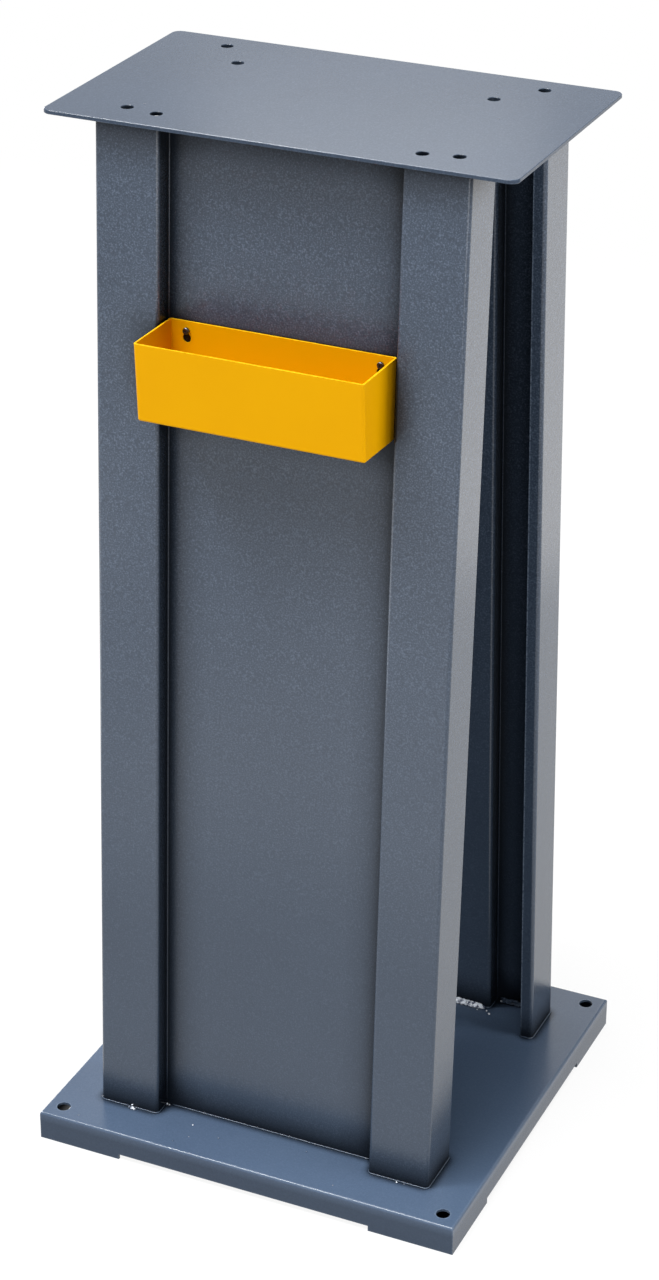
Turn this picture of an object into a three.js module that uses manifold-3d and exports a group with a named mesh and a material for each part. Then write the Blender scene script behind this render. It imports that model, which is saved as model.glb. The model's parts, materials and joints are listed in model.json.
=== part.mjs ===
// Bench grinder stand: a welded pedestal of folded sheet steel with a small tray hung on its front.
// Millimetres, +Z up. X runs along the front, -Y faces the user, the origin is on the floor
// under the middle of the base.

import * as THREE from 'three';
import { mergeVertices } from 'three/addons/utils/BufferGeometryUtils.js';
import Module from 'manifold-3d';

const wasm = await Module();
wasm.setup();

// Whole stand
const overallHeight = 830;

// Top plate that carries the machine
const topWidth = 354;
const topDepth = 207;
const topThickness = 3;
const topCornerRadius = 7;
const topEdgeBreak = 0.4;
const boltHole = 9;
const wideBolts = { x: 249, y: 157, shift: 4.7 };
const narrowBolts = { x: 199, y: 128, shift: -14.4 };

// Base pan
const baseWidth = 354.5;
const baseDepth = 337.5;
const baseHeight = 24.6;
const baseSheet = 2;
const baseBendInner = 0.5;
const footLength = 70;
const footRelief = 4.6;
const anchorHole = 11;
const anchorInset = 14;

// Columns: a sheet bent to two legs with a recessed panel between them
const columnWidth = 282;
const columnDepth = 45;
const columnSheet = 2;
const columnBendInner = 1;
const legWidth = 50;
const panelRecess = 16;
const lipWidth = 10;
const footInset = 36.25;
const topInset = 11.75;

// Weld stitches that hold the columns to the base and the top plate, and the seams of the pan
const weldLeg = 4;
const panelWeldLength = 32;
const legWeldLength = 24;
const weldFromBend = 2;
const weldRipple = 4;
const seamLeg = 3;
const seamFromEdge = 4.5;

// Tray, as wide as the recess leaves it room
const trayGapLeft = 1.5;
const trayGapRight = 5.5;
const trayBelowTop = 147;
const trayHeight = 61;
const trayFrontDrop = 1.5;
const trayRimDepth = 57;
const trayFloorDepth = 50.5;
const traySheet = 1.2;
const trayBendInner = 0.6;

// Screws and nuts that the tray hangs on by its keyholes
const screwFromLeftEnd = 13.6;
const screwFromRightEnd = 11.4;
const screwBelowRim = 7.1;
const screwDiameter = 3;
const screwHeadHeight = 2;
const screwHeadOverhang = 1;
const screwEdgeBreak = 0.3;
const socketAcrossFlats = 2;
const socketDepth = 1.1;
const screwTail = 2;
const nutWall = 0.95;
const nutHeight = 2.4;
const keyholeDrop = 5.5;

// Clearances
const seatGap = 0.3;
const headGap = 0.9;
const cutMargin = 20;

// Facets
const bendSteps = 6;
const roundSides = 24;
const weldSteps = 4;

// Form of a weld bead, as shares of its leg: the thickness of its throat, how much its ripples
// take off, and the size that is left at its two ends, which are round by a high power
const throatShare = 0.8;
const rippleShare = 0.06;
const beadEndShare = 0.35;
const beadEndPower = 5;

// Positions and sizes that follow
const columnTop = overallHeight - topThickness;
const columnRise = columnTop - baseHeight;
const footSpread = baseDepth - 2 * footInset;
const topSpread = topDepth - 2 * topInset;
const lean = Math.atan2((footSpread - topSpread) / 2, columnRise);
const halfColumn = columnWidth / 2;
const recessSide = halfColumn - legWidth;
const trayWidth = 2 * recessSide - trayGapLeft - trayGapRight;
const trayShift = (trayGapLeft - trayGapRight) / 2;
const trayRise = columnRise + topThickness - trayBelowTop;
const trayAlong = (trayRise + panelRecess * Math.sin(lean)) / Math.cos(lean);

// Finishes
const greyCoat = { color: 0x525a66, roughness: 0.5, metalness: 0 };
const yellowCoat = { color: 0xeeae00, roughness: 0.45, metalness: 0 };
const zincPlate = { color: 0x9a9ca3, roughness: 0.35, metalness: 1 };

// Solids: closed meshes that can be joined and cut

function solidOf(geometry) {
  const bare = geometry.clone();
  for (const name of Object.keys(bare.attributes)) {
    if (name !== 'position') bare.deleteAttribute(name);
  }
  const merged = mergeVertices(bare, 1e-4);
  return new wasm.Manifold(new wasm.Mesh({
    numProp: 3,
    vertProperties: new Float32Array(merged.attributes.position.array),
    triVerts: new Uint32Array(merged.index.array),
  }));
}

function geometryOf(solid) {
  const mesh = solid.getMesh();
  const geometry = new THREE.BufferGeometry();
  geometry.setAttribute('position', new THREE.BufferAttribute(mesh.vertProperties, 3));
  geometry.setIndex(new THREE.BufferAttribute(mesh.triVerts, 1));
  geometry.computeVertexNormals();
  return geometry;
}

function part(name, geometry, finish) {
  const mesh = new THREE.Mesh(geometry, new THREE.MeshStandardMaterial(finish));
  mesh.name = name;
  return mesh;
}

function box(sizeX, sizeY, sizeZ, x, y, z) {
  return new THREE.BoxGeometry(sizeX, sizeY, sizeZ).translate(x, y, z);
}

// A round bar from front to back, centred on a point
function bar(diameter, length, x, y, z) {
  return new THREE.CylinderGeometry(diameter / 2, diameter / 2, length, roundSides).translate(x, y, z);
}

// A turned solid on the z axis, from pairs of radius and height that run upwards
function turned(profile) {
  const points = profile.map(([radius, height]) => new THREE.Vector2(radius, height));
  return new THREE.LatheGeometry(points, roundSides).rotateX(Math.PI / 2);
}

// A cutter for a hole down through a sheet that lies on z = 0, with its two rims broken
function drill(diameter, sheet, edge) {
  const wall = diameter / 2;
  const rim = wall + edge;
  return turned([
    [0, -cutMargin], [rim, -cutMargin], [rim, 0], [wall, edge],
    [wall, sheet - edge], [rim, sheet], [rim, sheet + cutMargin], [0, sheet + cutMargin],
  ]);
}

// The four places of a rectangle of holes
function fourCorners(spacingX, spacingY, shiftY = 0) {
  const places = [];
  for (const sx of [-0.5, 0.5]) {
    for (const sy of [-0.5, 0.5]) places.push({ x: sx * spacingX, y: shiftY + sy * spacingY });
  }
  return places;
}

// A closed solid through rings of equally many points, capped at the first and the last ring
function loft(rings) {
  const count = rings[0].length;
  const points = rings.flat();
  const index = [];
  for (let r = 0; r + 1 < rings.length; r += 1) {
    for (let i = 0; i < count; i += 1) {
      const a = r * count + i;
      const b = r * count + (i + 1) % count;
      index.push(a, b, a + count, b, b + count, a + count);
    }
  }
  const last = (rings.length - 1) * count;
  for (let i = 1; i + 1 < count; i += 1) {
    index.push(0, i + 1, i);
    index.push(last, last + i, last + i + 1);
  }
  const geometry = new THREE.BufferGeometry().setFromPoints(points);
  geometry.setIndex(index);
  geometry.computeVertexNormals();
  return geometry;
}

// Rectangle with round corners, as a shape centred on the origin
function roundedRectangle(width, depth, radius) {
  const x = width / 2;
  const y = depth / 2;
  const shape = new THREE.Shape();
  shape.moveTo(-x + radius, -y);
  shape.lineTo(x - radius, -y);
  shape.absarc(x - radius, -y + radius, radius, -Math.PI / 2, 0);
  shape.lineTo(x, y - radius);
  shape.absarc(x - radius, y - radius, radius, 0, Math.PI / 2);
  shape.lineTo(-x + radius, y);
  shape.absarc(-x + radius, y - radius, radius, Math.PI / 2, Math.PI);
  shape.lineTo(-x, -y + radius);
  shape.absarc(-x + radius, -y + radius, radius, Math.PI, Math.PI * 1.5);
  return shape;
}

// Section of a sheet bent along a line of corners. The corners lie on the middle of the sheet.
function bentSheet(corners, sheet, innerRadius) {
  const half = sheet / 2;
  const middle = innerRadius + half;
  const left = [];
  const right = [];
  corners.forEach((corner, i) => {
    const before = corners[i - 1];
    const after = corners[i + 1];
    const along = (after ?? corner).clone().sub(after ? corner : before).normalize();
    const normal = new THREE.Vector2(-along.y, along.x);
    if (!before || !after) {
      left.push(corner.clone().addScaledVector(normal, half));
      right.push(corner.clone().addScaledVector(normal, -half));
      return;
    }
    const arriving = corner.clone().sub(before).normalize();
    const turn = Math.atan2(arriving.cross(along), arriving.dot(along));
    const side = Math.sign(turn);
    const arrivingNormal = new THREE.Vector2(-arriving.y, arriving.x);
    const setback = middle * Math.tan(Math.abs(turn) / 2);
    const centre = corner.clone().addScaledVector(arriving, -setback)
      .addScaledVector(arrivingNormal, side * middle);
    for (let k = 0; k <= bendSteps; k += 1) {
      const spoke = arrivingNormal.clone().multiplyScalar(-side)
        .rotateAround(new THREE.Vector2(), turn * k / bendSteps);
      left.push(centre.clone().addScaledVector(spoke, middle - side * half));
      right.push(centre.clone().addScaledVector(spoke, middle + side * half));
    }
  });
  return new THREE.Shape([...right, ...left.reverse()]);
}

// Top plate

function topPlate() {
  const width = topWidth - 2 * topEdgeBreak;
  const depth = topDepth - 2 * topEdgeBreak;
  const outline = roundedRectangle(width, depth, topCornerRadius - topEdgeBreak);
  const blank = new THREE.ExtrudeGeometry(outline, {
    depth: topThickness - 2 * topEdgeBreak,
    curveSegments: bendSteps,
    bevelThickness: topEdgeBreak,
    bevelSize: topEdgeBreak,
    bevelSegments: 1,
  });
  let plate = solidOf(blank.translate(0, 0, topEdgeBreak));
  for (const bolts of [wideBolts, narrowBolts]) {
    for (const { x, y } of fourCorners(bolts.x, bolts.y, bolts.shift)) {
      plate = plate.subtract(solidOf(drill(boltHole, topThickness, topEdgeBreak).translate(x, y, 0)));
    }
  }
  const mesh = part('top_plate', geometryOf(plate), greyCoat);
  mesh.position.z = columnTop;
  return mesh;
}

// Base pan: the space under a folded sheet is taken out of its outer form

// A block with its two upper edges rounded, as a section across its width
function foldedTop(width, height, radius, length) {
  const x = width / 2;
  const shape = new THREE.Shape();
  shape.moveTo(-x, -cutMargin);
  shape.lineTo(x, -cutMargin);
  shape.lineTo(x, height - radius);
  shape.absarc(x - radius, height - radius, radius, 0, Math.PI / 2);
  shape.lineTo(-x + radius, height);
  shape.absarc(-x + radius, height - radius, radius, Math.PI / 2, Math.PI);
  const block = new THREE.ExtrudeGeometry(shape, {
    depth: length, curveSegments: bendSteps, bevelEnabled: false });
  return block.translate(0, 0, -length / 2).rotateX(Math.PI / 2);
}

// Folded along both directions: the two sections cross and leave mitred corners
function foldedBlock(width, depth, height, radius) {
  const across = solidOf(foldedTop(width, height, radius, depth + cutMargin));
  const turned = foldedTop(depth, height, radius, width + cutMargin).rotateZ(Math.PI / 2);
  return across.intersect(solidOf(turned));
}

function basePan() {
  const inside = 2 * baseSheet;
  const outer = foldedBlock(baseWidth, baseDepth, baseHeight, baseBendInner + baseSheet);
  const hollow = foldedBlock(
    baseWidth - inside, baseDepth - inside, baseHeight - baseSheet, baseBendInner);
  const long = baseWidth + baseDepth;
  const cuts = [
    box(long, long, 2 * cutMargin, 0, 0, -cutMargin),
    box(baseWidth - 2 * footLength, long, 2 * footRelief, 0, 0, 0),
    box(long, baseDepth - 2 * footLength, 2 * footRelief, 0, 0, 0),
  ];
  for (const { x, y } of fourCorners(baseWidth - 2 * anchorInset, baseDepth - 2 * anchorInset)) {
    cuts.push(drill(anchorHole, baseSheet, 0).translate(x, y, baseHeight - baseSheet));
  }
  let pan = outer.subtract(hollow);
  for (const cut of cuts) pan = pan.subtract(solidOf(cut));
  return part('base_pan', geometryOf(pan), greyCoat);
}

// Columns. Each side of the stand is a leaning frame: x along the face, y inwards from the
// outer face, z up along the column, with its origin on the base under the outer face.

function columnSection() {
  const half = columnSheet / 2;
  const side = halfColumn - half;
  const step = recessSide + half;
  const back = columnDepth - half;
  const panel = panelRecess + half;
  const rightHalf = [
    [step, panel], [step, half], [side, half], [side, back], [halfColumn - lipWidth, back],
  ].map(([x, y]) => new THREE.Vector2(x, y));
  const leftHalf = rightHalf.map((p) => new THREE.Vector2(-p.x, p.y)).reverse();
  return bentSheet([...leftHalf, ...rightHalf], columnSheet, columnBendInner);
}

// The level slab between base and top plate, seen from a leaning frame
function levelSlab() {
  const height = columnRise - 2 * seatGap;
  const slab = box(columnWidth + cutMargin, footSpread * 2, height, 0, 0, seatGap + height / 2);
  return slab.rotateX(lean);
}

function column(name, holes) {
  const length = columnRise / Math.cos(lean) + 2 * cutMargin;
  const sheet = new THREE.ExtrudeGeometry(columnSection(), {
    depth: length, bevelEnabled: false, curveSegments: bendSteps });
  sheet.translate(0, 0, -cutMargin);
  let solid = solidOf(sheet).intersect(solidOf(levelSlab()));
  for (const hole of holes) solid = solid.subtract(solidOf(hole));
  return part(name, geometryOf(solid), greyCoat);
}

function leaningSide() {
  const side = new THREE.Group();
  side.position.set(0, -footSpread / 2, baseHeight);
  side.rotation.x = -lean;
  return side;
}

// Tray hardware, placed in the leaning frame of the front column

const screwAlong = trayAlong - screwBelowRim;
const screwPlaces = {
  left: trayShift - trayWidth / 2 + screwFromLeftEnd,
  right: trayShift + trayWidth / 2 - screwFromRightEnd,
};
const screwBore = screwDiameter + 2 * seatGap;
const headDiameter = screwDiameter + 2 * screwHeadOverhang;
const headUnderside = panelRecess - traySheet - 2 * seatGap;
const nutFace = panelRecess + columnSheet + seatGap;
const nutAcrossFlats = screwBore + 2 * nutWall;

function hexagon(acrossFlats) {
  const corner = new THREE.Vector2(acrossFlats / Math.sqrt(3), 0);
  const corners = [];
  for (let k = 0; k < 6; k += 1) {
    corners.push(corner.clone().rotateAround(new THREE.Vector2(), k * Math.PI / 3));
  }
  return new THREE.Shape(corners);
}

// Turned on its own axis, from the tail at the bottom to the socket at the top
function screwGeometry() {
  const tail = nutFace + nutHeight + screwTail - headUnderside;
  const shank = screwDiameter / 2;
  const head = headDiameter / 2;
  const edge = screwEdgeBreak;
  const blank = solidOf(turned([
    [0, -tail], [shank - edge, -tail], [shank, edge - tail], [shank, 0],
    [head, 0], [head, screwHeadHeight - edge], [head - edge, screwHeadHeight], [0, screwHeadHeight],
  ]));
  const socket = new THREE.ExtrudeGeometry(hexagon(socketAcrossFlats), {
    depth: 2 * socketDepth, bevelEnabled: false });
  socket.translate(0, 0, screwHeadHeight - socketDepth);
  return geometryOf(blank.subtract(solidOf(socket)));
}

// A hexagonal prism whose corners are turned off at both faces, with a round bore
function nutGeometry() {
  const prism = new THREE.ExtrudeGeometry(hexagon(nutAcrossFlats), {
    depth: nutHeight, bevelEnabled: false });
  const flat = nutAcrossFlats / 2;
  const corner = nutAcrossFlats / Math.sqrt(3);
  const chamfer = corner - flat;
  const rounding = turned([
    [0, 0], [flat, 0], [corner, chamfer],
    [corner, nutHeight - chamfer], [flat, nutHeight], [0, nutHeight],
  ]);
  const bore = drill(screwBore, nutHeight, 0);
  return geometryOf(solidOf(prism).intersect(solidOf(rounding)).subtract(solidOf(bore)));
}

function trayHardware() {
  const pieces = [];
  for (const [hand, x] of Object.entries(screwPlaces)) {
    const screw = part(`tray_screw_${hand}`, screwGeometry(), zincPlate);
    screw.rotation.x = Math.PI / 2;
    screw.position.set(x, headUnderside, screwAlong);
    const nut = part(`tray_nut_${hand}`, nutGeometry(), zincPlate);
    nut.rotation.x = -Math.PI / 2;
    nut.position.set(x, nutFace, screwAlong);
    pieces.push(screw, nut);
  }
  return pieces;
}

function panelBores() {
  const middle = panelRecess + columnSheet / 2;
  const length = columnSheet + 2 * columnBendInner;
  return Object.values(screwPlaces).map((x) => bar(screwBore, length, x, middle, screwAlong));
}

// Tray: a thin shell lofted from its floor up the outside, over the rim and down the inside. Its
// own frame: x along the rear wall, y out from the panel, z up, origin at the middle of the rear rim.

// One outline round the tray, drawn in from its outer face and lifted from its underside
function trayRing(inset, lift) {
  const share = lift / trayHeight;
  const depth = trayFloorDepth + (trayRimDepth - trayFloorDepth) * share;
  const radius = Math.max(trayBendInner + traySheet - inset, traySheet / 2);
  const outline = roundedRectangle(trayWidth - 2 * inset, depth - 2 * inset, radius);
  const points = outline.getPoints(bendSteps);
  points.pop();
  return points.map((p) => {
    const y = p.y + depth / 2;
    const drop = trayFrontDrop * y / trayRimDepth;
    return new THREE.Vector3(p.x, y, (trayHeight - drop) * share - trayHeight);
  });
}

// The outlines of the round edge between floor and walls, from the floor up
function trayBend(inset, lift, radius) {
  const rings = [];
  for (let k = 0; k <= bendSteps; k += 1) {
    const angle = Math.PI / 2 * k / bendSteps;
    const draw = radius * (1 - Math.sin(angle));
    const rise = radius * (1 - Math.cos(angle));
    rings.push(trayRing(inset + draw, lift + rise));
  }
  return rings;
}

function trayShell() {
  return solidOf(loft([
    ...trayBend(0, 0, trayBendInner + traySheet),
    trayRing(0, trayHeight),
    trayRing(traySheet, trayHeight),
    ...trayBend(traySheet, traySheet, trayBendInner).reverse(),
  ]));
}

// A round hole that passes the screw's head, with a slot above it that rides on the shank
function keyhole(x) {
  const z = -screwBelowRim;
  const depth = 2 * (traySheet + trayBendInner);
  const round = solidOf(bar(headDiameter + 2 * headGap, depth, x, 0, z - keyholeDrop));
  const slotEnd = solidOf(bar(screwBore, depth, x, 0, z));
  const slot = solidOf(box(screwBore, depth, keyholeDrop, x, 0, z - keyholeDrop / 2));
  return round.add(slotEnd).add(slot);
}

function tray() {
  let shell = trayShell();
  for (const x of Object.values(screwPlaces)) shell = shell.subtract(keyhole(trayShift - x));
  const mesh = part('tray', geometryOf(shell), yellowCoat);
  mesh.rotation.z = Math.PI;
  mesh.position.set(trayShift, panelRecess - seatGap, trayAlong);
  return mesh;
}

// Welds. A bead runs along x in the corner between a level plate below and an upright sheet behind
// it; its section bulges outwards, ripples along its length and thins out at both ends.

function weldBead(length, leg) {
  const ripples = Math.max(1, Math.round(length / weldRipple));
  const rows = 2 * ripples;
  const rings = [];
  for (let r = 0; r <= rows; r += 1) {
    const along = r / rows;
    const x = (along - 0.5) * length;
    const end = Math.sqrt(1 - Math.abs(2 * along - 1) ** beadEndPower);
    const ripple = 1 - rippleShare * (r % 2);
    const size = leg * Math.max(beadEndShare, end) * ripple;
    const ring = [new THREE.Vector3(x, 0, 0)];
    for (let k = 0; k <= weldSteps; k += 1) {
      const angle = Math.PI / 2 * k / weldSteps;
      const bulge = size * (throatShare + (1 - throatShare) * Math.abs(Math.cos(2 * angle)));
      ring.push(new THREE.Vector3(x, -bulge * Math.cos(angle), bulge * Math.sin(angle)));
    }
    rings.unshift(ring);
  }
  return geometryOf(solidOf(loft(rings)));
}

const hands = { left: -1, right: 1 };

// Both columns are stitched at the foot and under the top plate, on the inside: at both ends of
// the panel and in both legs beside it
function columnWelds(label) {
  const stations = {
    panel: {
      depth: panelRecess + columnSheet,
      length: panelWeldLength,
      x: recessSide - weldFromBend - panelWeldLength / 2,
    },
    leg: {
      depth: columnSheet,
      length: legWeldLength,
      x: recessSide + columnSheet + weldFromBend + legWeldLength / 2,
    },
  };
  const welds = [];
  for (const [station, seat] of Object.entries(stations)) {
    const footFace = seat.depth / Math.cos(lean) - footSpread / 2;
    const topFace = footFace + columnRise * Math.tan(lean);
    for (const [hand, side] of Object.entries(hands)) {
      const foot = part(`weld_${label}_foot_${station}_${hand}`, weldBead(seat.length, weldLeg), greyCoat);
      foot.rotation.z = Math.PI;
      foot.position.set(side * seat.x, footFace + weldLeg * Math.tan(lean) + seatGap, baseHeight);
      const top = part(`weld_${label}_top_${station}_${hand}`, weldBead(seat.length, weldLeg), greyCoat);
      top.rotation.x = Math.PI;
      top.position.set(side * seat.x, topFace + seatGap, columnTop);
      welds.push(foot, top);
    }
  }
  return welds;
}

// The flanges of the base pan meet in a short upright seam inside each corner
function cornerSeams() {
  const seams = [];
  const length = baseHeight - baseSheet - 2 * seamFromEdge;
  const x = baseWidth / 2 - baseSheet - seatGap;
  const y = baseDepth / 2 - baseSheet - seatGap;
  for (const [hand, sx] of Object.entries(hands)) {
    for (const [face, sy] of Object.entries({ front: -1, rear: 1 })) {
      const corner = new THREE.Group();
      const seam = part(`seam_${face}_${hand}`, weldBead(length, seamLeg), greyCoat);
      seam.rotation.y = -Math.PI / 2;
      corner.add(seam);
      corner.rotation.z = Math.atan2(sy, sx) - Math.PI / 4;
      corner.position.set(sx * x, sy * y, seamFromEdge + length / 2);
      seams.push(corner);
    }
  }
  return seams;
}

// Assembly

const stand = new THREE.Group();
stand.add(topPlate(), basePan());

const frontSide = leaningSide();
frontSide.add(column('front_column', panelBores()), ...trayHardware(), tray());
stand.add(frontSide, ...columnWelds('front'));

const rearHalf = new THREE.Group();
const rearSide = leaningSide();
rearSide.add(column('rear_column', []));
rearHalf.rotation.z = Math.PI;
rearHalf.add(rearSide, ...columnWelds('rear'));
stand.add(rearHalf);

stand.add(...cornerSeams());

export default stand;
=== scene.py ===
"""Looks of the bench grinder stand: powder-coated sheet steel, a yellow tray and its screws."""

import json
import math

import bpy
from mathutils import Matrix, Vector


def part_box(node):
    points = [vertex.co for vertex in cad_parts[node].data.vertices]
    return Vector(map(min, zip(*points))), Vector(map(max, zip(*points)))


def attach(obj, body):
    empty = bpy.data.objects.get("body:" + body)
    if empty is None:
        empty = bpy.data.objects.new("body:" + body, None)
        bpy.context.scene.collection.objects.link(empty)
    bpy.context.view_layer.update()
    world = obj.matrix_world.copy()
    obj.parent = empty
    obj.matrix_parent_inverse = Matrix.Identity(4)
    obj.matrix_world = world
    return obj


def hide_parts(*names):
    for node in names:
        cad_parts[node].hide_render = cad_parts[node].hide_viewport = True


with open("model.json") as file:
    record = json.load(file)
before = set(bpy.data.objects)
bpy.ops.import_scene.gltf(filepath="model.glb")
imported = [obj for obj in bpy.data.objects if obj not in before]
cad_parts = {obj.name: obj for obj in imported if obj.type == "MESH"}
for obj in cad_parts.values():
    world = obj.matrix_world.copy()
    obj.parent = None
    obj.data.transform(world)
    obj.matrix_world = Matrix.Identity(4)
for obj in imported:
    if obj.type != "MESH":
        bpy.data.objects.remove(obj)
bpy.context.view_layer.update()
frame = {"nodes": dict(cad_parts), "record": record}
nodes = frame["nodes"]

MM = 0.001
SAME_PLACE = 0.001 * MM
PAN_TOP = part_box("base_pan")[1].z

# Photographed view: the camera's aim, its turn, tilt and roll in degrees, its distance from the aim,
# and its focal length in pixels of the photograph
IMAGE_HEIGHT = 1280
FOCAL_PIXELS = 3151.2
AIM = Vector((-3.33, 0.99, 404.24)) * MM
AZIMUTH = 24.42
ELEVATION = 27.62
ROLL = 0.18
DISTANCE = 2396.3 * MM


def linear(code):
    """An sRGB hex colour as linear red, green, blue and alpha."""
    channels = [int(code[i:i + 2], 16) / 255 for i in (1, 3, 5)]
    return [c / 12.92 if c <= 0.04045 else ((c + 0.055) / 1.055) ** 2.4 for c in channels] + [1]


WHITE = linear("#ffffff")


def add(tree, kind, values=None, links=None, **settings):
    """A node with its settings, the values of its sockets and the links into them."""
    node = tree.nodes.new(kind)
    for name, value in settings.items():
        setattr(node, name, value)
    for socket, value in (values or {}).items():
        node.inputs[socket].default_value = value
    for socket, source in (links or {}).items():
        tree.links.new(source, node.inputs[socket])
    return node


def new_material(name):
    """An empty material with its tree and the coordinates that its patterns read."""
    material = bpy.data.materials.new(name)
    material.use_nodes = True
    tree = material.node_tree
    tree.nodes.clear()
    place = add(tree, "ShaderNodeTexCoord").outputs["Object"]
    return material, tree, place


def per_metre(size_mm):
    """The scale of a pattern whose features are this many millimetres wide."""
    return 1000 / size_mm


# Finishes

OCCLUSION_RAYS = 8


def worn_and_glinting_edge(tree, grain, depth_mm, most):
    """How much a place lies on a cut edge, where little metal is behind it, broken up by the grain."""
    metal = add(tree, "ShaderNodeAmbientOcclusion", {"Distance": depth_mm * MM},
                inside=True, only_local=True, samples=OCCLUSION_RAYS).outputs["AO"]
    edge = add(tree, "ShaderNodeMapRange", {"From Min": 0.9, "From Max": 0.7},
               {"Value": metal}).outputs["Result"]
    broken = add(tree, "ShaderNodeMapRange", {"From Min": 0.3, "From Max": 0.6, "To Max": most},
                 {"Value": grain}).outputs["Result"]
    return add(tree, "ShaderNodeMath", None, {0: edge, 1: broken}, operation="MULTIPLY").outputs["Value"]


def grey_powder_coat(name, dark, light, grit, shine, wear_and_glint, shade_reach_mm):
    """Anthracite blue-grey powder coat, sprayed and baked: semi-gloss, with a fine grain and small nibs.

    Grit is how much the grain shows, its specks and pits painted strongest high up as painted glints of the
    light that grazes the coat there; shine is how much it reflects; the edge amount is how much its cut
    edges are lightened, by wear and by a painted highlight; and the shade distance is how near a neighbour
    must be to paint shade into the coat's colour.
    """
    grain_mm, peel_mm, cloud_mm, nib_mm = 1.2, 6, 140, 26
    grain_rise, peel_rise, nib_rise = 0.18 * grit * MM, 0.02 * MM, 0.2 * MM
    faint_grain_height, glinting_grain_height = 0.2, 0.6
    flange_shade_starts, flange_shade_full = PAN_TOP - 1.6 * MM, PAN_TOP - 8.6 * MM
    edge_mm = 1.6
    material, tree, place = new_material(name)

    # Patterns: fine grain, soft orange peel, wide clouds and scattered nibs
    height = add(tree, "ShaderNodeSeparateXYZ", None, {"Vector": place}).outputs["Z"]
    # Painted glints: the grain's specks and pits grow stronger with height, where the light from above
    # grazes the coat
    grain_glint_here = add(tree, "ShaderNodeMapRange",
                    {"From Min": faint_grain_height, "From Max": glinting_grain_height,
                     "To Min": 0.3 * grit, "To Max": grit},
                    {"Value": height}).outputs["Result"]
    grain = add(tree, "ShaderNodeTexNoise", {"Scale": per_metre(grain_mm), "Detail": 2, "Roughness": 0.6},
                {"Vector": place}).outputs["Fac"]
    peel = add(tree, "ShaderNodeTexNoise", {"Scale": per_metre(peel_mm), "Detail": 1},
               {"Vector": place}).outputs["Fac"]
    cloud = add(tree, "ShaderNodeTexNoise", {"Scale": per_metre(cloud_mm), "Detail": 3},
                {"Vector": place}).outputs["Fac"]
    nib_distance = add(tree, "ShaderNodeTexVoronoi", {"Scale": per_metre(nib_mm)},
                       {"Vector": place}).outputs["Distance"]
    nib = add(tree, "ShaderNodeMapRange", {"From Min": 0.0, "From Max": 0.05, "To Min": 1.0, "To Max": 0.0},
              {"Value": nib_distance}).outputs["Result"]

    # Colour: clouds, light specks and dark pits of the grain, painted stronger higher up as painted glints,
    # and cut edges lightened by wear and a painted highlight
    tone = add(tree, "ShaderNodeMix", {"A": linear(dark), "B": linear(light)},
               {"Factor": cloud}, data_type="RGBA").outputs["Result"]
    speck = add(tree, "ShaderNodeMapRange", {"From Min": 0.5, "From Max": 0.72},
                {"Value": grain, "To Max": grain_glint_here}).outputs["Result"]
    tone = add(tree, "ShaderNodeMix", {"B": linear("#69768a")},
               {"Factor": speck, "A": tone}, data_type="RGBA").outputs["Result"]
    pit = add(tree, "ShaderNodeMapRange", {"From Min": 0.48, "From Max": 0.28},
              {"Value": grain, "To Max": grain_glint_here}).outputs["Result"]
    tone = add(tree, "ShaderNodeMix", {"B": linear("#242b37")},
               {"Factor": pit, "A": tone}, data_type="RGBA").outputs["Result"]
    # Cut edges are lightened, partly as wear and partly as a painted highlight of the light they catch
    rubbed_and_glinting = worn_and_glinting_edge(tree, grain, edge_mm, wear_and_glint)
    tone = add(tree, "ShaderNodeMix", {"B": linear("#8190a3")},
               {"Factor": rubbed_and_glinting, "A": tone}, data_type="RGBA").outputs["Result"]

    # Painted shade: corners near a neighbour, and the pan's flanges below its top that get less light from
    # above, are painted dark toward near-black and reflect less
    open_to_light = add(tree, "ShaderNodeAmbientOcclusion", {"Distance": shade_reach_mm * MM},
                        samples=OCCLUSION_RAYS).outputs["AO"]
    painted_shade = add(tree, "ShaderNodeMapRange", {"From Min": 0.95, "From Max": 0.58, "To Max": 0.95},
               {"Value": open_to_light}).outputs["Result"]
    shade_below_pan = add(tree, "ShaderNodeMapRange",
                    {"From Min": flange_shade_starts, "From Max": flange_shade_full, "To Max": 0.38},
                    {"Value": height}).outputs["Result"]
    painted_shade = add(tree, "ShaderNodeMath", None, {0: painted_shade, 1: shade_below_pan},
               operation="MAXIMUM").outputs["Value"]
    colour = add(tree, "ShaderNodeMix", {"B": linear("#0a0e14")},
                 {"Factor": painted_shade, "A": tone}, data_type="RGBA").outputs["Result"]
    gleam = add(tree, "ShaderNodeMapRange", {"To Min": shine, "To Max": 0.2 * shine},
                {"Value": painted_shade}).outputs["Result"]
    gloss = add(tree, "ShaderNodeMapRange", {"To Min": 0.16, "To Max": 0.24},
                {"Value": cloud}).outputs["Result"]

    bump = add(tree, "ShaderNodeBump", {"Strength": 1.0, "Distance": peel_rise},
               {"Height": peel}).outputs["Normal"]
    bump = add(tree, "ShaderNodeBump", {"Strength": 1.0, "Distance": grain_rise},
               {"Height": grain, "Normal": bump}).outputs["Normal"]
    bump = add(tree, "ShaderNodeBump", {"Strength": 1.0, "Distance": nib_rise},
               {"Height": nib, "Normal": bump}).outputs["Normal"]
    # An export that can't follow the linked gleam keeps the level in the open
    shader = add(tree, "ShaderNodeBsdfPrincipled", {"IOR": 1.5, "Specular IOR Level": shine},
                 {"Base Color": colour, "Roughness": gloss, "Specular IOR Level": gleam, "Normal": bump})
    add(tree, "ShaderNodeOutputMaterial", None, {"Surface": shader.outputs["BSDF"]})
    return material


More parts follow.
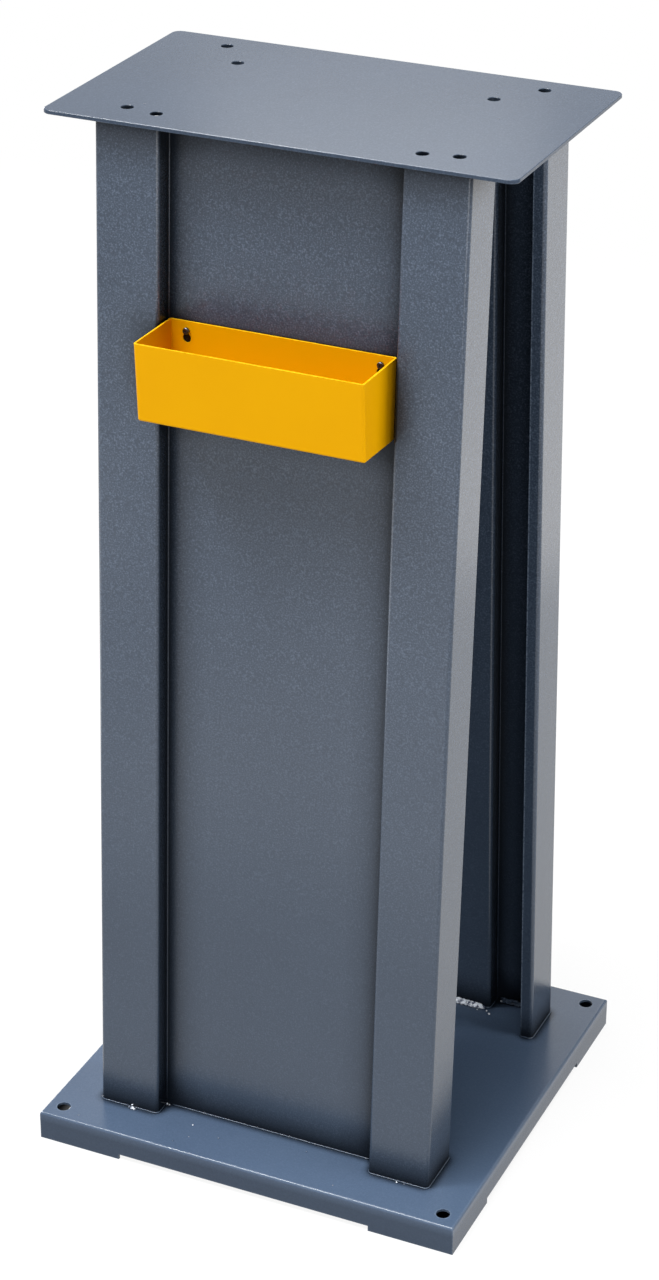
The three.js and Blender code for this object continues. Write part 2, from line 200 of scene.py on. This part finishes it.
def yellow_powder_coat():
    """Signal-yellow powder coat: a smooth semi-gloss skin with a soft orange peel and lighter cut edges."""
    peel_mm, cloud_mm = 3, 70
    peel_rise = 0.02 * MM
    edge_mm, wear_and_glint = 0.7, 0.8
    material, tree, place = new_material("yellow_powder_coat")
    peel = add(tree, "ShaderNodeTexNoise", {"Scale": per_metre(peel_mm), "Detail": 2},
               {"Vector": place}).outputs["Fac"]
    cloud = add(tree, "ShaderNodeTexNoise", {"Scale": per_metre(cloud_mm), "Detail": 3},
                {"Vector": place}).outputs["Fac"]
    tone = add(tree, "ShaderNodeMix", {"A": linear("#da9b00"), "B": linear("#e0a300")},
               {"Factor": cloud}, data_type="RGBA").outputs["Result"]
    rubbed_and_glinting = worn_and_glinting_edge(tree, peel, edge_mm, wear_and_glint)
    colour = add(tree, "ShaderNodeMix", {"B": linear("#ffd426")},
                 {"Factor": rubbed_and_glinting, "A": tone}, data_type="RGBA").outputs["Result"]
    bump = add(tree, "ShaderNodeBump", {"Strength": 1.0, "Distance": peel_rise},
               {"Height": peel}).outputs["Normal"]
    shader = add(tree, "ShaderNodeBsdfPrincipled", {"Specular IOR Level": 0.04, "Roughness": 0.4},
                 {"Base Color": colour, "Normal": bump})
    add(tree, "ShaderNodeOutputMaterial", None, {"Surface": shader.outputs["BSDF"]})
    return material


def screw_steel():
    """Zinc-plated screw steel: a dull grey metal with fine turning marks and brighter edges."""
    mark_mm = 0.35
    mark_rise = 0.01 * MM
    edge_mm, wear_and_glint = 0.25, 0.7
    material, tree, place = new_material("zinc_plated_steel")
    mark = add(tree, "ShaderNodeTexNoise", {"Scale": per_metre(mark_mm), "Detail": 2},
               {"Vector": place}).outputs["Fac"]
    tone = add(tree, "ShaderNodeMix", {"A": linear("#41444c"), "B": linear("#5c606a")},
               {"Factor": mark}, data_type="RGBA").outputs["Result"]
    rubbed_and_glinting = worn_and_glinting_edge(tree, mark, edge_mm, wear_and_glint)
    colour = add(tree, "ShaderNodeMix", {"B": linear("#9aa2b4")},
                 {"Factor": rubbed_and_glinting, "A": tone}, data_type="RGBA").outputs["Result"]
    bump = add(tree, "ShaderNodeBump", {"Strength": 1.0, "Distance": mark_rise},
               {"Height": mark}).outputs["Normal"]
    shader = add(tree, "ShaderNodeBsdfPrincipled", {"Metallic": 1.0, "Roughness": 0.34},
                 {"Base Color": colour, "Normal": bump})
    add(tree, "ShaderNodeOutputMaterial", None, {"Surface": shader.outputs["BSDF"]})
    return material


def weld_metal():
    """Weld metal that the coat only half covers: dark coated hollows between bright lumps, bare metal with a
    painted glint.
    """
    lump_mm = 3.5
    lump_rise = 0.4 * MM
    material, tree, place = new_material("weld_metal")
    lump = add(tree, "ShaderNodeTexNoise", {"Scale": per_metre(lump_mm), "Detail": 3, "Roughness": 0.7},
               {"Vector": place}).outputs["Fac"]
    bare_and_glinting = add(tree, "ShaderNodeMapRange", {"From Min": 0.42, "From Max": 0.56},
               {"Value": lump}).outputs["Result"]
    # The lumps' light colour is bare metal with a painted glint
    colour = add(tree, "ShaderNodeMix", {"A": linear("#39445a"), "B": linear("#d3dae4")},
                 {"Factor": bare_and_glinting}, data_type="RGBA").outputs["Result"]
    bump = add(tree, "ShaderNodeBump", {"Strength": 1.0, "Distance": lump_rise},
               {"Height": lump}).outputs["Normal"]
    shader = add(tree, "ShaderNodeBsdfPrincipled", {"IOR": 1.5, "Roughness": 0.25},
                 {"Base Color": colour, "Normal": bump})
    add(tree, "ShaderNodeOutputMaterial", None, {"Surface": shader.outputs["BSDF"]})
    return material


finishes = {
    "grey_powder_coat": grey_powder_coat("grey_powder_coat", dark="#333e4d", light="#3b4757",
                                         grit=0.55, shine=0.5, wear_and_glint=0.7, shade_reach_mm=34),
    "yellow_powder_coat": yellow_powder_coat(),
    "zinc_plated_steel": screw_steel(),
}
plate_coat = grey_powder_coat("grey_powder_coat_plate", dark="#323d4c", light="#394556",
                              grit=0.15, shine=0.15, wear_and_glint=0.12, shade_reach_mm=24)
# The base pan's copy of the coat is painted lighter and bluer than the columns', as painted light on its
# open top
lit_base_coat = grey_powder_coat("grey_powder_coat_base", dark="#3e4d63", light="#48586d",
                             grit=0.35, shine=0.35, wear_and_glint=0.3, shade_reach_mm=8)
bead_metal = weld_metal()
coat_of_node = {"top_plate": plate_coat, "base_pan": lit_base_coat}


def dress(node, finish):
    """A CAD node's finish, with soft shading over its bends and crisp sheet edges."""
    crisp_angle = math.radians(35)
    node.data.materials.clear()
    node.data.materials.append(finish)
    bpy.ops.object.select_all(action="DESELECT")
    node.select_set(True)
    bpy.context.view_layer.objects.active = node
    bpy.ops.mesh.customdata_custom_splitnormals_clear()
    bpy.ops.object.shade_smooth()
    weld = node.modifiers.new("joined_facets", "WELD")
    weld.merge_threshold = SAME_PLACE
    split = node.modifiers.new("crisp_edges", "EDGE_SPLIT")
    split.split_angle = crisp_angle
    split.use_edge_sharp = False
    flat = node.modifiers.new("flat_faces", "WEIGHTED_NORMAL")
    flat.weight = 100


for subpart in frame["record"]["subparts"]:
    name = subpart["node"]
    finish = lit_base_coat if name.startswith("seam_") else finishes[subpart["material_slot"]]
    dress(nodes[name], coat_of_node.get(name, finish))


# Welds, coat lines and spatter

def open_for_work(piece):
    """The piece alone in edit mode, with all of it chosen."""
    bpy.ops.object.select_all(action="DESELECT")
    piece.select_set(True)
    bpy.context.view_layer.objects.active = piece
    bpy.ops.object.mode_set(mode="EDIT")
    bpy.ops.mesh.select_all(action="SELECT")


def copy_of(node, name):
    """A free copy of a CAD node's shape, with its facets joined."""
    piece = bpy.data.objects.new(name, node.data.copy())
    bpy.context.scene.collection.objects.link(piece)
    open_for_work(piece)
    bpy.ops.mesh.customdata_custom_splitnormals_clear()
    bpy.ops.mesh.remove_doubles(threshold=SAME_PLACE)
    bpy.ops.object.mode_set(mode="OBJECT")
    return piece


def coated(piece, coat):
    """The piece belongs to the welded frame and has this finish."""
    bpy.ops.object.mode_set(mode="OBJECT")
    bpy.ops.object.shade_smooth()
    piece.data.materials.clear()
    piece.data.materials.append(coat)
    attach(piece, "stand")


def weld_bead(node, seed):
    """A hand-laid bead in place of the CAD one: bright at the panels, under the coat inside the legs."""
    lump_rise = 0.7 * MM
    piece = copy_of(node, node.name + "_bead")
    open_for_work(piece)
    bpy.ops.mesh.subdivide(number_cuts=2)
    bpy.ops.transform.vertex_random(offset=lump_rise, uniform=0.2, normal=0.8, seed=seed)
    bpy.ops.mesh.vertices_smooth(factor=0.5, repeat=1)
    coated(piece, lit_base_coat if "_leg_" in node.name else bead_metal)
    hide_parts(node.name)


def coat_line(node, name):
    """The line of coat that fills the joint between a column's foot and the base."""
    radius = 0.7 * MM
    waver = 0.15 * MM
    cut_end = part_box(node.name)[0].z + 0.1 * MM
    piece = copy_of(node, name)
    open_for_work(piece)
    bpy.ops.mesh.select_mode(type="FACE")
    bpy.ops.mesh.select_all(action="DESELECT")
    bpy.ops.object.mode_set(mode="OBJECT")
    for face in piece.data.polygons:
        face.select = face.center.z > cut_end
    bpy.ops.object.mode_set(mode="EDIT")
    bpy.ops.mesh.delete(type="FACE")
    bpy.ops.mesh.select_all(action="SELECT")
    bpy.ops.mesh.dissolve_limited(angle_limit=math.radians(1))
    bpy.ops.mesh.delete(type="ONLY_FACE")
    bpy.ops.mesh.select_all(action="SELECT")
    bpy.ops.mesh.subdivide(number_cuts=20)
    bpy.ops.transform.vertex_random(offset=waver, seed=3)
    bpy.ops.object.mode_set(mode="OBJECT")
    bpy.ops.object.convert(target="CURVE")
    piece = bpy.context.object
    piece.data.bevel_depth = radius
    piece.data.bevel_resolution = 2
    bpy.ops.object.convert(target="MESH")
    coated(bpy.context.object, lit_base_coat)


def spatter(name, drops):
    """Drops of weld metal on the base: x, y, height above the pan's top and radius, in millimetres."""
    flatness = 0.7
    unevenness = 0.12
    bpy.ops.object.select_all(action="DESELECT")
    piece = bpy.data.objects.new(name, bpy.data.meshes.new(name))
    bpy.context.scene.collection.objects.link(piece)
    open_for_work(piece)
    for x, y, lift, radius in drops:
        bpy.ops.mesh.select_all(action="DESELECT")
        bpy.ops.mesh.primitive_ico_sphere_add(subdivisions=3, radius=radius * MM, scale=(1, 1, flatness),
                                              location=(x * MM, y * MM, PAN_TOP + lift * MM))
        bpy.ops.transform.vertex_random(offset=unevenness * radius * MM, normal=1, seed=int(abs(x)))
        bpy.ops.mesh.vertices_smooth(factor=0.5, repeat=2)
    bpy.ops.mesh.select_all(action="SELECT")
    coated(piece, bead_metal)


welds = [name for name in nodes if name.startswith("weld_")]
for number, weld in enumerate(sorted(welds)):
    weld_bead(nodes[weld], number)
for side in ("front", "rear"):
    coat_line(nodes[side + "_column"], "coat_line_" + side)
spatter("weld_spatter", [
    # Beside the bead at the inner foot of the rear panel
    (95.5, 106.7, 0.2, 1.1), (92, 110, 0.2, 0.7), (84, 108.5, 0.2, 0.6), (99, 125, 2.4, 1.0),
    # At the feet of the front column
    (-113, -134, 0.2, 1.7), (-110.8, -134.6, 0.2, 1.1), (-115.6, -133.7, 0.2, 0.9),
    (-113.4, -132.9, 2.4, 0.8), (-90.2, -117.6, 0.4, 1.0), (-88, -117.8, 0.3, 0.6),
    (116, -134.2, 0.2, 0.7), (122, -133.8, 0.2, 0.6),
    # Scattered over the front of the base
    (-59, -134, 0.1, 0.6), (-55, -149, 0.1, 0.5), (-64, -159, 0.1, 0.5), (-33, -141, 0.1, 0.5),
    (37, -128, 0.1, 0.5), (73, -158, 0.1, 0.5), (-147, -160, 0.1, 0.5),
])


# Stage

def background_rays(tree):
    """One for the rays that see the white background, from the camera or by way of gloss or glass."""
    path = add(tree, "ShaderNodeLightPath").outputs
    seen = add(tree, "ShaderNodeMath", None, {0: path["Is Camera Ray"], 1: path["Is Glossy Ray"]},
               operation="MAXIMUM").outputs["Value"]
    return add(tree, "ShaderNodeMath", None, {0: seen, 1: path["Is Transmission Ray"]},
               operation="MAXIMUM").outputs["Value"]


def floor():
    """A pale floor that the camera sees white, with a soft trace of the stand's shadow.

    Reach is one at the edge of the ground that the base pan covers. That ground is painted dark, as painted
    shade under the pan, and the floor far from the stand is wholly white. The floor casts no shadow, so it
    doesn't count as a neighbour whose painted shade darkens a coat.
    """
    floor_size = 40
    shadow_share = 0.1
    inset_x, inset_y = 4.5 * MM, 10 * MM
    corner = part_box("base_pan")[1]
    covered = (corner.x - inset_x, corner.y - inset_y, 1)
    bpy.ops.object.select_all(action="DESELECT")
    bpy.ops.mesh.primitive_plane_add(size=floor_size, location=(0, 0, 0))
    plane = bpy.context.object
    plane.name = "floor"
    plane.visible_shadow = False
    material, tree, place = new_material("pale_floor")
    seen = background_rays(tree)
    reach = add(tree, "ShaderNodeVectorMath", {1: covered}, {0: place}, operation="DIVIDE").outputs["Vector"]
    reach = add(tree, "ShaderNodeVectorMath", None, {0: reach}, operation="ABSOLUTE").outputs["Vector"]
    reach = add(tree, "ShaderNodeSeparateXYZ", None, {"Vector": reach}).outputs
    reach = add(tree, "ShaderNodeMath", None, {0: reach["X"], 1: reach["Y"]},
                operation="MAXIMUM").outputs["Value"]
    beside = add(tree, "ShaderNodeMapRange",
                 {"From Min": 0.98, "From Max": 1.02, "To Max": 1 - shadow_share},
                 {"Value": reach}).outputs["Result"]
    far = add(tree, "ShaderNodeMapRange", {"From Min": 4.0, "From Max": 12.0, "To Max": shadow_share},
              {"Value": reach}).outputs["Result"]
    blank = add(tree, "ShaderNodeMath", None, {0: beside, 1: far}, operation="ADD").outputs["Value"]
    share = add(tree, "ShaderNodeMath", None, {0: seen, 1: blank}, operation="MULTIPLY").outputs["Value"]
    # Painted shade: the ground under the base pan is painted near-black
    pale = add(tree, "ShaderNodeMix", {"A": linear("#1c1c1c"), "B": linear("#a4a4a4")},
               {"Factor": beside}, data_type="RGBA").outputs["Result"]
    pale = add(tree, "ShaderNodeMix", {"B": WHITE},
               {"Factor": share, "A": pale}, data_type="RGBA").outputs["Result"]
    matt = add(tree, "ShaderNodeBsdfDiffuse", None, {"Color": pale}).outputs["BSDF"]
    white = add(tree, "ShaderNodeEmission", {"Color": WHITE, "Strength": 1.0}).outputs["Emission"]
    surface = add(tree, "ShaderNodeMixShader", None, {0: share, 1: matt, 2: white}).outputs["Shader"]
    add(tree, "ShaderNodeOutputMaterial", None, {"Surface": surface})
    plane.data.materials.append(material)


def surroundings():
    """A white studio that the camera and reflections see, and a dimmer even light from it."""
    even_light = 0.22
    world = bpy.data.worlds.new("studio")
    bpy.context.scene.world = world
    world.use_nodes = True
    tree = world.node_tree
    tree.nodes.clear()
    strength = add(tree, "ShaderNodeMapRange", {"To Min": even_light, "To Max": 1.0},
                   {"Value": background_rays(tree)}).outputs["Result"]
    white = add(tree, "ShaderNodeBackground", {"Color": WHITE}, {"Strength": strength}).outputs["Background"]
    add(tree, "ShaderNodeOutputWorld", None, {"Surface": white})


def softbox(name, place, aim, size, level, tint="#ffffff"):
    """A soft lamp of that width and height, as bright as level times white, aimed at a point."""
    width, height = size
    lamp = bpy.data.lights.new(name, "AREA")
    lamp.shape = "RECTANGLE"
    lamp.size = width
    lamp.size_y = height
    lamp.energy = level * math.pi * width * height
    lamp.color = linear(tint)[:3]
    holder = bpy.data.objects.new(name, lamp)
    bpy.context.scene.collection.objects.link(holder)
    place = Vector(place)
    holder.location = place
    holder.rotation_euler = (Vector(aim) - place).to_track_quat("-Z", "Y").to_euler()
    holder.visible_camera = False


def lamps():
    """Lamps above and around the stand, low where its plate would mirror them, and cards on the floor."""
    softbox("overhead", place=(-1.5, -2.4, 7.8), aim=(-0.1, -0.5, 0), size=(4.6, 4.6), level=15)
    softbox("key", place=(-1.7, -1.2, 4.2), aim=(0, -0.1, 0.05), size=(0.55, 0.55), level=60)
    softbox("right_high", place=(1.6, 0.12, 1.4), aim=(0.05, 0.0, 0.3), size=(0.5, 1.2), level=10)
    softbox("front_right", place=(2.0, -2.8, 0.42), aim=(0, 0, 0.42), size=(1.8, 0.78), level=7.5)
    softbox("back_left", place=(-0.4, 1.3, 0.62), aim=(0.1, 0.05, 0.02), size=(1.0, 0.6), level=1.2)
    softbox("floor_right", place=(0.75, 1.25, 0.02), aim=(0.73, 1.206, 1), size=(1.2, 2.2), level=0.65,
            tint="#fffaf4")
    softbox("floor_left", place=(-1.0, -0.55, 0.02), aim=(-1.0, -0.55, 1), size=(0.5, 1.6), level=1.9)
    softbox("floor_front", place=(-0.1, -1.3, 0.02), aim=(-0.1, -1.28, 1), size=(0.8, 1.4), level=0.5)
    softbox("plate_glint", place=(-0.85, 2.0, 1.8), aim=(0.05, -0.1, 0.83), size=(0.5, 0.4), level=2.1)
    softbox("back_fill", place=(-2.9, 2.1, 0.42), aim=(0, 0, 0.42), size=(2.0, 0.78), level=12)


def camera():
    """The photographed viewpoint, with the sensor's width along the picture's longer side, its height."""
    turn, tilt, roll = (math.radians(a) for a in (AZIMUTH, ELEVATION, ROLL))
    back = Vector((math.sin(turn) * math.cos(tilt), -math.cos(turn) * math.cos(tilt), math.sin(tilt)))
    level = Vector((math.cos(turn), math.sin(turn), 0))
    upright = back.cross(level)
    right = level * math.cos(roll) + upright * math.sin(roll)
    up = upright * math.cos(roll) - level * math.sin(roll)
    lens = bpy.data.cameras.new("camera")
    lens.lens = lens.sensor_width * FOCAL_PIXELS / IMAGE_HEIGHT
    lens.clip_end = 100
    holder = bpy.data.objects.new("camera", lens)
    bpy.context.scene.collection.objects.link(holder)
    axes = Matrix((right, up, back)).transposed().to_4x4()
    holder.matrix_world = Matrix.Translation(AIM + back * DISTANCE) @ axes
    bpy.context.scene.camera = holder


floor()
surroundings()
lamps()
camera()

bpy.context.scene.view_settings.view_transform = "Standard"
